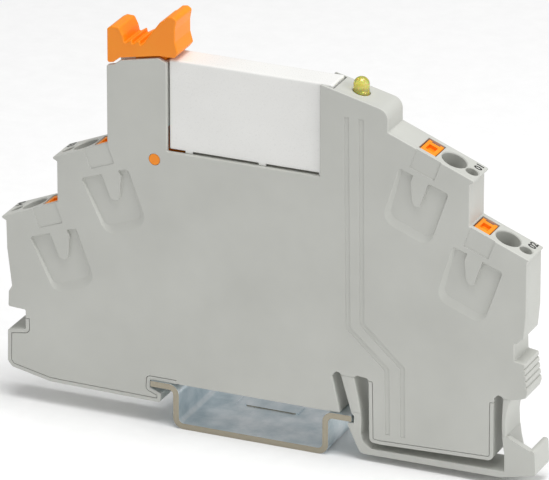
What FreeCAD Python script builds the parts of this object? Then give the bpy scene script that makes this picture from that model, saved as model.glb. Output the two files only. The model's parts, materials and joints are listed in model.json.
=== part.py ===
"""Slim plug-in relay module on a 35 mm mounting rail: one STEP file per physical piece.

Frame: millimetres. X runs along the module's length (+X is the coil side and the sprung foot), Y runs
along the rail through the module's thickness (front face at -Y), Z points away from the rail.
Z = 0 is the seat plane on the rail flanges, X = 0 the rail's centre line, Y = 0 the module's mid plane.
"""
import FreeCAD, Part
import math
import os

os.makedirs("parts", exist_ok=True)

# ---------------------------------------------------------------- driving dimensions (mm, degrees)
SKIN = 0.7                # front cover and back wall
POCKET_SKIN = 0.4         # what is left of both beside the relay
SIDE_CLEAR = 0.05         # lever head and rail foot stay this far inside the module's faces
WALL = 0.9                # edge walls of the housing
PARTITION_T = 0.35        # partition between lever and relay
RIM_W = 0.6               # moulded rim that frames the inset parts of the cover
RIM_GAP = 0.1             # shadow gap between rim and cover
EDGE_R = 0.15             # rounding of the front and back outer edges

RAIL_W = 35.0             # top-hat rail 35 x 7.5 x 1
RAIL_H = 7.5
RAIL_T = 1.0
RAIL_CHANNEL_W = 27.0     # outside width of the rail's channel
RAIL_BEND_R = 0.8         # inside bend radius
RAIL_LEN = 23.4
RAIL_FRONT = 0.3          # rail end stands this far in front of the module
SEAT_GAP = 0.03           # running clearance of the housing on the flanges
HOOK_GAP = 0.32           # hook and foot nose below the flange
HOOK_SHARE, NOSE_SHARE = 0.425, 0.1875    # how much of the flange they reach under

TILT = 22.0               # slope of the terminal faces
TERM_R_OUT, TERM_R_DROP = 6.27, 8.76      # upper right button from the lamp tower and the relay's top
TERM_L_OUT, TERM_L_DROP = 1.45, 0.78      # upper left button from the lever tower and the bay's floor
STEP_OUT, STEP_DOWN = 9.2, 11.7           # from an upper button to the lower one
TIP_WALL_R, TIP_WALL_L = 0.5, 1.13        # end walls stand this far inside the lower noses
TIP_U = 9.2               # terminal nose, measured down the slope from the button centre
WIRE_U = 4.05             # conductor funnel: distance down the slope
WIRE_SIDE = 0.3           # wall beside it
PROBE_U, PROBE_R = 7.4, 1.05  # test probe hole
PROBE_Y = -0.35
ENTRY_DEPTH = 4.2         # depth of the block around both holes
BUTTON_U = 2.75
BUTTON_GAP = 0.2
BUTTON_SIDE = 0.25        # wall beside the button's slot
BUTTON_LEN = 5.9
BUTTON_SINK = 0.12        # button top below the terminal face
BUTTON_TRAVEL = 1.2
SPRING_T = 0.35
SPRING_SIDE, BUSBAR_SIDE = 0.25, 0.15     # narrower than the button by this on each side
BUSBAR_T = 0.7
STRIP_W = 1.0

BAY_Z = 39.9              # floor of the relay bay
BAY_LEFT = -14.5
BAY_OVERLAP = 1.9         # the housing covers this much of the relay's right end
RELAY_L, RELAY_T, RELAY_H = 28.0, 5.0, 15.05
RELAY_SIDE_GAP = 0.2      # clearance of the relay between the housing's skins
RELAY_LIFT = 0.45         # underside of the relay above the bay's floor
RELAY_WALL = 0.45
NUB_GAP = 0.05            # feet of the relay cover above the bay's floor
RELAY_GAP = 0.3           # clearance of the relay in its pocket
PIN_FROM_LEFT = (6.1, 11.1)       # moving and fixed contact pins, from the relay's left end
PIN_FROM_RIGHT = (7.7, 2.7)       # coil pins, from its right end
PIN_W, PIN_T, PIN_LEN = 0.8, 0.5, 3.85
PIN_FIT = 0.03
CARD_DROP, CARD_H = 1.05, 2.3     # actuator card below the relay's ceiling, and its height
COIL_DROP = 0.6                   # coil bobbin below the card
ARMATURE_GAP = 0.6        # open air gap at the pole face
CONTACT_GAP = 0.75        # open contact gap

PIVOT_OUT, PIVOT_DROP = 2.15, 1.64        # lever pivot from the bay's left edge and floor
PIVOT_R = 0.95
PIVOT_FIT = 0.05
LEVER_SIDE = 0.35         # lever stem between the housing cheeks
STEM_GAP = 0.2            # lever stem beside the partition
TOWER_W = 10.35           # width of the lever tower

LED_R = 1.3
LED_OUT, LED_RISE = 2.8, 1.2      # lamp from the board's left edge, and its top above the relay
POCKET_WALL = 0.75        # wall between relay and board
PCB_W, PCB_T, PCB_Z0 = 7.6, 0.8, 21.5
PCB_DROP = 5.8            # top of the board below the relay's top
TOWER_WALL = 0.95         # lamp tower beyond the board

FOOT_LIFT = 1.18          # underside of the foot above the rail's underside
FOOT_TRAVEL = 1.15        # way of the foot when it lets go of the rail
FOOT_CLEAR = 0.25         # left between foot and housing at the end of that way
ARM_ROOT = 6.6            # height where the left flexure joins the housing
ARM_ROOT_R = 7.35         # height where the right flexure joins the grip block
ARM_END = 0.6             # flexures end here and the rigid foot begins
ARM_END_R = 1.0
FLEX_JOIN = 0.02          # parting line between a flexure and the rigid foot

# ---------------------------------------------------------------- dependent dimensions
MODULE_T = RELAY_T + 2 * (RELAY_SIDE_GAP + POCKET_SKIN)      # module thickness along the rail
Y0, Y1 = -MODULE_T / 2, MODULE_T / 2        # front and back faces
IN0, IN1 = Y0 + SKIN, Y1 - SKIN             # inside faces
HEAD_T = FOOT_T = MODULE_T - 2 * SIDE_CLEAR
LEVER_T = IN1 - IN0 - 2 * LEVER_SIDE
WIRE_R = (IN1 - IN0) / 2 - WIRE_SIDE
BUTTON_Y = IN1 - IN0 - 2 * (BUTTON_GAP + BUTTON_SIDE)
SPRING_W, BUSBAR_W = BUTTON_Y - 2 * SPRING_SIDE, BUTTON_Y - 2 * BUSBAR_SIDE
HALF_W = RAIL_W / 2
FLANGE = (RAIL_W - RAIL_CHANNEL_W) / 2      # width of one rail flange
FLANGE_Z = -SEAT_GAP
HOOK_Z = FLANGE_Z - RAIL_T - HOOK_GAP
HOOK_REACH, NOSE_REACH = HOOK_SHARE * FLANGE, NOSE_SHARE * FLANGE
FOOT_Z = FLANGE_Z - RAIL_H + FOOT_LIFT      # underside of the foot
RAIL_Y0 = Y0 - RAIL_FRONT
RELAY_X0 = BAY_LEFT + RELAY_SIDE_GAP
RELAY_X1 = RELAY_X0 + RELAY_L
RELAY_Z0 = BAY_Z + RELAY_LIFT
RELAY_Z1 = RELAY_Z0 + RELAY_H
POCKET_X = RELAY_X1 + RELAY_GAP
BAY_SKIN_RIGHT = RELAY_X1 - BAY_OVERLAP
PIN_X = [RELAY_X0 + d for d in PIN_FROM_LEFT] + [RELAY_X1 - d for d in PIN_FROM_RIGHT]
PCB_X = (POCKET_X + POCKET_WALL, POCKET_X + POCKET_WALL + PCB_W)
PCB_Z = (PCB_Z0, RELAY_Z1 - PCB_DROP)
LED_X, LED_TOP = PCB_X[0] + LED_OUT, RELAY_Z1 + LED_RISE
LED_TOWER_X = PCB_X[1] + TOWER_WALL
TOWER_X = BAY_LEFT - TOWER_W
PIVOT = (BAY_LEFT - PIVOT_OUT, BAY_Z - PIVOT_DROP)
SIN, COS = math.sin(math.radians(TILT)), math.cos(math.radians(TILT))
TERM_R = (LED_TOWER_X + TERM_R_OUT, RELAY_Z1 - TERM_R_DROP)
TERM_L = (TOWER_X - TERM_L_OUT, BAY_Z - TERM_L_DROP)
TERMINALS = [(TERM_R[0], TERM_R[1], 1), (TERM_R[0] + STEP_OUT, TERM_R[1] - STEP_DOWN, 1),
             (TERM_L[0], TERM_L[1], -1), (TERM_L[0] - STEP_OUT, TERM_L[1] - STEP_DOWN, -1)]

V = FreeCAD.Vector


# ---------------------------------------------------------------- helpers
def face(points):
    """XZ face from (x, z) or (x, z, radius) corners, drawn at Y = 0."""
    n = len(points)
    pts = [V(p[0], 0, p[1]) for p in points]
    ends = []
    for i, p in enumerate(points):
        r = p[2] if len(p) > 2 else 0
        here = pts[i]
        a, b = (pts[i - 1] - here), (pts[(i + 1) % n] - here)
        la, lb = a.Length, b.Length
        a.normalize()
        b.normalize()
        half = a.getAngle(b) / 2
        if r <= 0 or half > math.radians(89.5):
            ends.append((here, None, here))
            continue
        cut = min(r / math.tan(half), 0.48 * la, 0.48 * lb)
        r = cut * math.tan(half)
        mid = a + b
        mid.normalize()
        ends.append((here + a * cut, here + mid * (r / math.sin(half) - r), here + b * cut))
    edges = []
    for i, (t0, m, t1) in enumerate(ends):
        if m is not None:
            edges.append(Part.Arc(t0, m, t1).toShape())
        nxt = ends[(i + 1) % n][0]
        if t1.distanceToPoint(nxt) > 1e-6:
            edges.append(Part.LineSegment(t1, nxt).toShape())
    return Part.Face(Part.Wire(edges))


def prism(points, y0, y1):
    """Profile (corner list or face) extruded from y0 to y1."""
    f = points if isinstance(points, Part.Shape) else face(points)
    f = f.copy()
    f.translate(V(0, y0, 0))
    return f.extrude(V(0, y1 - y0, 0))


def box(x0, x1, y0, y1, z0, z1):
    return Part.makeBox(x1 - x0, y1 - y0, z1 - z0, V(x0, y0, z0))


def rod_y(x, z, r, y0, y1):
    return Part.makeCylinder(r, y1 - y0, V(x, y0, z), V(0, 1, 0))


def fuse(shapes):
    out = shapes[0].multiFuse(shapes[1:]) if len(shapes) > 1 else shapes[0]
    return out.removeSplitter()


def cut(shape, tools):
    return shape.cut(Part.makeCompound(tools)) if tools else shape


def placed(shape, term):
    """Move a piece drawn in a terminal's own (u, y, v) axes onto that terminal."""
    x, z, side = term
    s = shape.copy() if side > 0 else shape.mirror(V(0, 0, 0), V(1, 0, 0))
    s.rotate(V(0, 0, 0), V(0, 1, 0), TILT * side)
    s.translate(V(x, 0, z))
    return s


def at(term, u, v):
    """World (x, z) of the point (u, v) in a terminal's axes."""
    x, z, side = term
    return (x + side * (u * COS + v * SIN), z - u * SIN + v * COS)


def slope_z(term, x):
    """Height of a terminal's sloping face at x."""
    return term[1] - abs(x - term[0]) * math.tan(math.radians(TILT)) * (
        1 if (x - term[0]) * term[2] > 0 else -1)


def strip(points, t, y0, y1):
    """Constant-thickness strip bent along a polyline, with mitred bends."""
    n = len(points)
    left, right = [], []
    for i, (x, z) in enumerate(points):
        ds = []
        if i > 0:
            ds.append((x - points[i - 1][0], z - points[i - 1][1]))
        if i < n - 1:
            ds.append((points[i + 1][0] - x, points[i + 1][1] - z))
        us = [(dx / math.hypot(dx, dz), dz / math.hypot(dx, dz)) for dx, dz in ds]
        nx, nz = -sum(u[1] for u in us), sum(u[0] for u in us)
        ln = math.hypot(nx, nz)
        nx, nz = nx / ln, nz / ln
        k = t / 2 / (nx * -us[0][1] + nz * us[0][0])
        left.append((x + nx * k, z + nz * k))
        right.append((x - nx * k, z - nz * k))
    return prism(left + right[::-1], y0, y1)


def rounded(shape, r, keep):
    """Round the edges that keep() picks."""
    picked = [e for e in shape.Edges if keep(e)]
    return shape.makeFillet(r, picked) if picked else shape


def lies_at_y(e, y):
    b = e.BoundBox
    return abs(b.YMin - y) < 1e-4 and abs(b.YMax - y) < 1e-4


nodes = {}

# ---------------------------------------------------------------- housing outline
R_UP, R_LOW, L_UP, L_LOW = TERMINALS


def nose(term, wall_x, drop):
    """Terminal face's outer end: rounded nose, then under-cut back to the end wall."""
    tip = at(term, TIP_U, 0)
    return [(tip[0], tip[1], 0.35), (wall_x, tip[1] - drop, 0.25)]


WALL_R_UP = at(R_UP, TIP_U, 0)[0] - 1.0
WALL_L_UP = at(L_UP, TIP_U, 0)[0] + 1.1
BODY_RIGHT = at(R_LOW, TIP_U, 0)[0] - TIP_WALL_R       # end walls of the housing
BODY_LEFT = at(L_LOW, TIP_U, 0)[0] + TIP_WALL_L
BR, BL, FZ, HW = BODY_RIGHT, BODY_LEFT, FOOT_Z, HALF_W
FOOT_BACK = HW + 1.55                                  # back of the foot's left arm
FOOT_STOP = FOOT_BACK + FOOT_TRAVEL + FOOT_CLEAR       # housing beside it
teeth = []
GRIP = [(BR - 0.15, 13.85), (BR + 0.5, ARM_ROOT_R + 1.4)]
N_TEETH = 5
for i in range(N_TEETH):
    f0, f1 = i / N_TEETH, (i + 0.62) / N_TEETH
    for f, d in ((f0, 0.0), (f1, 0.0), (f1 + 0.04, 0.38)):
        teeth.append((GRIP[0][0] + f * (GRIP[1][0] - GRIP[0][0]) - d,
                      GRIP[0][1] + f * (GRIP[1][1] - GRIP[0][1]), 0.1))
teeth = teeth[:-1]

right_side = (
    [(BAY_SKIN_RIGHT, BAY_Z, 0.2), (BAY_SKIN_RIGHT, RELAY_Z1 + 0.1, 0.25),
     (LED_TOWER_X, RELAY_Z1 - 2.75, 1.9), (LED_TOWER_X, slope_z(R_UP, LED_TOWER_X))]
    + nose(R_UP, WALL_R_UP, 0.5) + [(WALL_R_UP, slope_z(R_LOW, WALL_R_UP), 0.2)]
    + nose(R_LOW, BR, 0.4)
    + [(BR, (at(R_LOW, TIP_U, 0)[1] + 12.5) / 2), (BR - 0.35, 18.2, 0.8), (BR - 1.4, 17.15, 0.3),
       (BR - 1.95, 17.1, 0.2), (BR - 1.85, 14.1, 0.2)]
    + teeth
    + [(BR + 0.15, ARM_ROOT_R + 0.75, 0.3), (BR - 0.8, ARM_ROOT_R + 0.35, 0.3),
       (BR - 2.45, ARM_ROOT_R), (BR - 3.65, ARM_ROOT_R), (BR - 3.9, ARM_ROOT_R + 0.35, 0.2),
       (BR - 4.6, ARM_ROOT_R + 0.5, 0.35), (BR - 5.2, ARM_ROOT_R - 0.15, 0.3),
       (BR - 5.25, ARM_ROOT_R - 2.35), (BR - 5.2, FZ + 2.8, 1.0)])
left_side = (
    [(HW + 4.8, FZ + 2.15, 0.3), (FOOT_STOP + 0.05, FZ + 2.3, 0.9), (FOOT_STOP, FZ + 3.85),
     (FOOT_STOP - 0.15, ARM_ROOT - 0.6), (HW + 2.6, ARM_ROOT + 0.2, 0.5),
     (HW + 0.7, ARM_ROOT + 0.35, 0.3), (HW + 0.25, ARM_ROOT), (HW - 2.0, ARM_ROOT),
     (HW - 2.2, ARM_ROOT + 0.35, 0.2), (HW - 2.9, ARM_ROOT + 0.5, 0.35),
     (HW - 3.5, ARM_ROOT - 0.3, 0.3), (HW - 2.1, 0.0, 0.2), (-HW - 0.2, 0.0, 0.1),
     (-HW - 0.25, HOOK_Z, 0.1), (HOOK_REACH - HW, HOOK_Z - 0.75, 0.2),
     (HOOK_REACH - HW - 0.15, FZ + 2.65, 0.3), (BL + 9.2, FZ + 2.9), (BL + 7.4, FZ + 2.95, 0.8),
     (BL + 0.7, FZ + 4.4, 0.6), (BL - 0.05, FZ + 5.35, 0.5), (BL + 0.05, 4.5, 0.25),
     (BL + 3.25, 5.05, 0.2), (BL + 3.2, 8.4, 0.25), (BL + 0.15, 8.55, 0.3), (BL + 0.25, 11.2, 0.6),
     (BL + 0.85, 12.2, 0.4), (BL + 0.1, (at(L_LOW, TIP_U, 0)[1] + 13.4) / 2)]
    + nose(L_LOW, BL, 0.5)[::-1] + [(WALL_L_UP, slope_z(L_LOW, WALL_L_UP), 0.2)]
    + nose(L_UP, WALL_L_UP, 0.5)[::-1]
    + [(TOWER_X, slope_z(L_UP, TOWER_X)), (TOWER_X, RELAY_Z1 - 2.4, 0.3),
       (TOWER_X + 1.35, RELAY_Z1 - 2.05, 0.3), (TOWER_X + 2.45, RELAY_Z1 - 1.2, 0.4),
       (BAY_LEFT - 1.4, RELAY_Z1 + 0.1, 0.5), (BAY_LEFT, RELAY_Z1 - 0.5, 0.3), (BAY_LEFT, BAY_Z, 0.2)])
OUTLINE = face(right_side + left_side)
INNER = OUTLINE.makeOffset2D(-WALL, 2)
RIM_IN = OUTLINE.makeOffset2D(-RIM_W, 2)
COVER_IN = OUTLINE.makeOffset2D(-RIM_W - RIM_GAP, 2)

# parts of the front where the shell's rim shows around the cover
RIM_AT = [(BL - 1.1, 4.5 - HW, 6.9), (HW + 2.0, BR - 3.8, ARM_ROOT - 0.25)]     # x from, x to, top
rim_zones = [box(x0, x1, Y0 - 1, IN0, FZ - 1, z) for x0, x1, z in RIM_AT]
rim_ring = prism(OUTLINE, Y0, IN0).cut(prism(RIM_IN, Y0 - 1, IN0 + 1))
gap_ring = prism(OUTLINE, Y0, IN0).cut(prism(COVER_IN, Y0 - 1, IN0 + 1))
cover_zones = [box(x0, x1, Y0 - 1, IN0, FZ - 1, z + RIM_GAP) for x0, x1, z in RIM_AT]

# ---------------------------------------------------------------- housing shell
solid_core = prism(OUTLINE, IN0, IN1)
walls = solid_core.cut(prism(INNER, IN0 - 1, IN1 + 1))
OPEN_TOP = LED_TOP
walls = cut(walls, [
    box(TOWER_X - 1, BAY_LEFT - PARTITION_T, IN0 - 1, IN1, BAY_Z + 3.6, OPEN_TOP),  # lever's way out
    box(BAY_LEFT - 1.5, BAY_LEFT + 0.1, IN0 - 1, IN1, BAY_Z - 1.4, BAY_Z + 4.1),    # and to the bay
    box(BAY_LEFT - 1.5, BAY_LEFT + 3.2, IN0 - 1, IN1, BAY_Z - 1.4, BAY_Z + 0.2),    # lever's foot
    box(BAY_SKIN_RIGHT - 0.8, POCKET_X, IN0 - 1, IN1, BAY_Z, OPEN_TOP)])            # end pocket
side_y = RELAY_T / 2 + RELAY_SIDE_GAP
pocket = box(BAY_SKIN_RIGHT - 0.5, POCKET_X, -side_y, side_y, BAY_Z, OPEN_TOP)
back = prism(OUTLINE, IN1, Y1)
back = rounded(back, EDGE_R, lambda e: lies_at_y(e, Y1))
floor = [
    box(POCKET_X, PCB_X[0], IN0, IN1, BAY_Z - WALL, RELAY_Z1 - 1.2),             # pocket wall
    box(BAY_LEFT + 3.2, PCB_X[0], IN0, IN1, BAY_Z - WALL, BAY_Z),                # bay floor
    prism([(BAY_LEFT - 9.9, BAY_Z - 4.3), (BAY_LEFT - 7.5, BAY_Z - 5.5), (BAY_LEFT + 3.2, BAY_Z - 5.5),
           (BAY_LEFT + 3.2, BAY_Z), (BAY_LEFT + 4.0, BAY_Z), (BAY_LEFT + 4.0, BAY_Z - 6.3),
           (BAY_LEFT - 7.8, BAY_Z - 6.3), (BAY_LEFT - 9.9, BAY_Z - 5.2)], IN0, IN1),     # lever well
    prism([(3.0 - HW, 0.5), (3.8 - HW, 0.5), (3.8 - HW, 9.0), (HW - 6.0, 9.0), (HW - 6.0, 0.5),
           (HW - 5.2, 0.5), (HW - 5.2, 9.8), (3.0 - HW, 9.8)], IN0, IN1)]        # rib over the seat
SHELF_V = -BUTTON_LEN - 5.25
chambers = []
bores = []
for term in TERMINALS:
    cell = [box(1.6, TIP_U - 0.2, IN0, IN1, -ENTRY_DEPTH, -0.3),         # block around the holes
            box(-BUTTON_U / 2 - 1.625, -BUTTON_U / 2 - 0.825, IN0, IN1,
                -BUTTON_LEN - BUTTON_TRAVEL - 1.1, -0.3),                # guide behind the button
            box(0.6, TIP_U - 0.6, IN0, IN1, SHELF_V - 0.75, SHELF_V),    # shelf below the busbar
            box(TIP_U - 1.3, TIP_U - 0.6, IN0, IN1, SHELF_V - 0.05, 0.3 - BUTTON_LEN)]
    chambers += [placed(c, term).common(solid_core) for c in cell]
    bores += [placed(b, term) for b in (
        Part.makeCylinder(WIRE_R, 12, V(WIRE_U, 0, -ENTRY_DEPTH - 0.3), V(0, 0, 1)),
        Part.makeCone(WIRE_R, WIRE_R + 0.2, 0.25, V(WIRE_U, 0, -0.2)),
        Part.makeCylinder(PROBE_R, 12, V(PROBE_U, PROBE_Y, -ENTRY_DEPTH - 0.3), V(0, 0, 1)),
        Part.makeCone(PROBE_R, PROBE_R + 0.2, 0.2, V(PROBE_U, PROBE_Y, -0.2)),
        box(-BUTTON_U / 2 - BUTTON_GAP, BUTTON_U / 2 + BUTTON_GAP, -BUTTON_Y / 2 - BUTTON_GAP,
            BUTTON_Y / 2 + BUTTON_GAP, -BUTTON_LEN - 0.6, 1))]
pin_slots = [box(x - 0.9, x + 0.9, -0.85, 0.85, BAY_Z - 2, BAY_Z + 1) for x in PIN_X]
pivot_hole = rod_y(PIVOT[0], PIVOT[1], PIVOT_R + PIVOT_FIT, Y0 - 1, Y1 + 1)
led_hole = Part.makeCylinder(LED_R + 0.12, 10, V(LED_X, 0, PCB_Z[1] - 0.1))
rims = [rim_ring.common(z) for z in rim_zones]
shell = fuse([walls, back] + floor + chambers + rims)
shell = cut(shell, bores + pin_slots + [pivot_hole, led_hole, pocket])
nodes["housing_shell"] = shell

# ---------------------------------------------------------------- front cover
cover = rounded(prism(OUTLINE, Y0, IN0), EDGE_R, lambda e: lies_at_y(e, Y0))
cover = cut(cover, [gap_ring.common(z) for z in cover_zones])
# each side: sloping window frame of the terminal; corners in the terminal's (u, v) axes
WINDOW = {1: ((-2.45, -4.5), (-1.35, -12.9), (6.3, -12.9), (5.9, -4.2)),
          -1: ((-3.0, -4.9), (-2.45, -13.3), (4.4, -13.3), (5.2, -4.5))}
FLARE = ((-0.45, 0.03), (-0.75, -1.3), (0.3, -1.3), (0.12, 0.03))     # wider at the face, most at the foot
CORNER_R, FLARE_R = (0.3, 1.4, 1.4, 0.4), (0.4, 2.3, 1.9, 0.5)
TONGUE = {1: ((-0.34, -4.0), (-0.34, -5.6), (1.1, -8.5), (1.9, -9.1), (2.6, -8.8), (2.4, -4.0)),
          -1: ((-1.55, -4.2), (-1.7, -5.8), (-0.1, -9.2), (0.6, -9.6), (1.5, -8.9), (1.45, -4.2))}
WINDOW_DEPTH, PLATE_DEPTH, TRACK_DEPTH = 0.48, 0.12, 0.1
for term in TERMINALS:
    side = term[2]
    inner = face([p + (r,) for p, r in zip(WINDOW[side], CORNER_R)]).OuterWire
    outer = face([(p[0] + f[0], p[1] + f[1], r)
                  for p, f, r in zip(WINDOW[side], FLARE, FLARE_R)]).OuterWire
    inner.translate(V(0, Y0 + WINDOW_DEPTH, 0))
    outer.translate(V(0, Y0, 0))
    hollow = Part.makeLoft([outer, inner], True, True)
    tongue = prism([p + (0.5,) if 1 < i < 5 else p for i, p in enumerate(TONGUE[side])],
                   Y0 - 2, Y0 + 2)
    plate = prism([(-1.55, 0.4), (2.9, 0.4), (3.05, -3.4, 0.3), (-1.4, -3.5, 0.3)],
                  Y0 - 1, Y0 + PLATE_DEPTH)
    cover = cut(cover, [placed(s, term) for s in (hollow.cut(tongue), plate)])
TRACKS = [[(LED_X + a, RELAY_Z1 - 4.7), (LED_X + b, z0), (HW + c, z1), (HW + c + 0.2, FZ + 4.05)]
          for a, b, z0, c, z1 in ((-1.25, -0.85, 15.0, 5.9, 8.9), (1.25, 1.55, 16.0, 8.5, 9.6))]
cover = cut(cover, [strip(t, 0.75, Y0 - 1, Y0 + TRACK_DEPTH) for t in TRACKS] + [pivot_hole, pocket])
nodes["front_cover"] = cover

# ---------------------------------------------------------------- rail section
half_w, half_c = HALF_W, RAIL_CHANNEL_W / 2
ri, ro = RAIL_BEND_R, RAIL_BEND_R + RAIL_T
zt, zb = FLANGE_Z, FLANGE_Z - RAIL_H
rail_profile = [
    (-half_w, zt, 0.15), (-half_c + RAIL_T, zt, ro), (-half_c + RAIL_T, zb + RAIL_T, ri),
    (half_c - RAIL_T, zb + RAIL_T, ri), (half_c - RAIL_T, zt, ro), (half_w, zt, 0.15),
    (half_w, zt - RAIL_T, 0.15), (half_c, zt - RAIL_T, ri), (half_c, zb, ro),
    (-half_c, zb, ro), (-half_c, zt - RAIL_T, ri), (-half_w, zt - RAIL_T, 0.15)]
rail = prism(rail_profile, RAIL_Y0, RAIL_Y0 + RAIL_LEN)


def panel(x0, x1, y0, y1, r, z0, z1):
    """Upright block with rounded corners in plan."""
    b = box(x0, x1, y0, y1, z0, z1)
    return b.makeFillet(r, [e for e in b.Edges if e.BoundBox.ZLength > 0.9 * (z1 - z0)])


mark = panel(-7.2, 5.0, 6.0, 15.0, 1.2, zb + RAIL_T - 0.15, zb + RAIL_T + 1).cut(
    panel(-5.9, 3.7, 7.4, 13.6, 0.8, zb + RAIL_T - 1, zb + RAIL_T + 2))
nodes["din_rail_section"] = rail.cut(mark)

# ---------------------------------------------------------------- rail foot and its flexures
FY0, FY1 = -FOOT_T / 2, FOOT_T / 2
nodes["foot_flexure_left"] = prism(
    [(HW - 2.0, ARM_ROOT), (HW + 0.25, ARM_ROOT), (HW + 0.9, (ARM_ROOT + ARM_END) / 2 - 0.1),
     (HW + 1.45, ARM_END), (HW - 0.25, ARM_END)], FY0, FY1)
nodes["foot_flexure_right"] = prism(
    [(BR - 3.65, ARM_ROOT_R), (BR - 2.45, ARM_ROOT_R), (BR - 2.9, ARM_ROOT_R - 1.75),
     (BR - 3.15, ARM_END_R + 2.8), (BR - 3.05, ARM_END_R), (BR - 3.75, ARM_END_R),
     (BR - 3.85, ARM_END_R + 2.0), (BR - 3.8, ARM_END_R + 4.0)], FY0, FY1)
END_L, END_R = ARM_END - FLEX_JOIN, ARM_END_R - FLEX_JOIN
foot = prism(
    [(HW - 0.23, END_L), (HW + 1.45, END_L), (FOOT_BACK, -0.6), (HW + 1.5, FZ + 3.25),
     (HW + 1.85, FZ + 2.05, 0.5), (HW + 3.2, FZ + 1.05, 0.6), (BR - 2.9, FZ + 1.27, 0.4),
     (BR - 2.9, FZ + 2.15), (BR - 3.55, -0.8, 0.6), (BR - 3.73, END_R), (BR - 3.05, END_R),
     (BR - 2.8, -0.8, 0.6), (BR - 2.05, FZ + 2.05, 0.3), (BR + 0.55, FZ + 2.45, 0.3),
     (BR + 0.65, FZ + 5.5, 0.45), (BR + 1.7, FZ + 5.6, 0.45), (BR + 1.95, FZ + 1.45, 0.3),
     (BR - 4.0, FZ + 0.15, 1.0), (HW + 1.9, FZ, 0.4), (HW + 1.25, FZ + 0.35, 0.3),
     (HW - NOSE_REACH, HOOK_Z - 0.45, 0.2), (HW - NOSE_REACH + 0.05, HOOK_Z - 0.05, 0.15),
     (HW + 0.3, HOOK_Z, 0.1), (HW + 0.3, -0.1, 0.2)], FY0, FY1)
gusset = prism([(BR - 3.3, FZ + 0.75), (BR - 3.35, ARM_END_R - 0.1), (BR - 2.7, ARM_END_R - 0.05),
                (BR - 2.45, ARM_END_R - 0.3, 0.3), (BR + 1.3, FZ + 5.35, 0.5), (BR + 1.5, FZ + 1.35)],
               FY0, FY0 + 1.1)
nodes["rail_foot"] = fuse([foot, gusset])

# ---------------------------------------------------------------- ejector lever
HEAD = [(-10.25, 3.8, 0.3), (-10.25, -1.95, 0.35), (-9.25, -1.78, 0.2), (-8.1, -0.85, 0.3),
        (-1.2, 0.5, 0.4), (0.2, 0.45), (1.4, 0.55, 0.4), (2.0, 1.4, 0.35), (1.5, 3.2, 0.8),
        (1.5, 5.2, 0.8), (1.8, 6.9, 0.5), (1.1, 7.35, 0.35), (0.2, 7.2, 0.3), (-0.4, 6.5, 0.2),
        (-1.1, 6.15, 0.2), (-3.5, 2.9), (-3.75, 2.35, 0.15), (-4.5, 1.8, 0.1), (-4.65, 2.55, 0.12),
        (-5.85, 1.8, 0.1), (-6.0, 2.55, 0.12), (-7.2, 1.8, 0.15), (-7.5, 3.0, 0.3),
        (-8.15, 4.25, 0.4), (-9.4, 4.3, 0.3)]      # from the bay's left edge and the relay's top
head = prism([(BAY_LEFT + p[0], RELAY_Z1 + p[1]) + p[2:] for p in HEAD], -HEAD_T / 2, HEAD_T / 2)
head = rounded(head, 0.2, lambda e: lies_at_y(e, -HEAD_T / 2) or lies_at_y(e, HEAD_T / 2))
px, pz = PIVOT
lt = LEVER_T / 2
stem_x = BAY_LEFT - PARTITION_T - STEM_GAP
lever = fuse([
    head,
    prism([(BAY_LEFT - 5.9, RELAY_Z1 + 1.2), (stem_x, RELAY_Z1 + 1.2), (stem_x, BAY_Z + 0.7, 0.6),
           (px + 2.3, pz), (px - 2.3, pz)], -lt, lt),
    rod_y(px, pz, 2.3, -lt, lt),
    prism([(px, BAY_Z + 0.1), (BAY_LEFT + 2.3, BAY_Z + 0.1, 0.25), (BAY_LEFT + 2.3, BAY_Z - 1.0, 0.5),
           (px, BAY_Z - 3.7)], -1.2, 1.2),
    rod_y(px, pz, PIVOT_R, Y0 + 0.03, Y1 - 0.03)])
nodes["ejector_lever"] = lever

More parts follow.
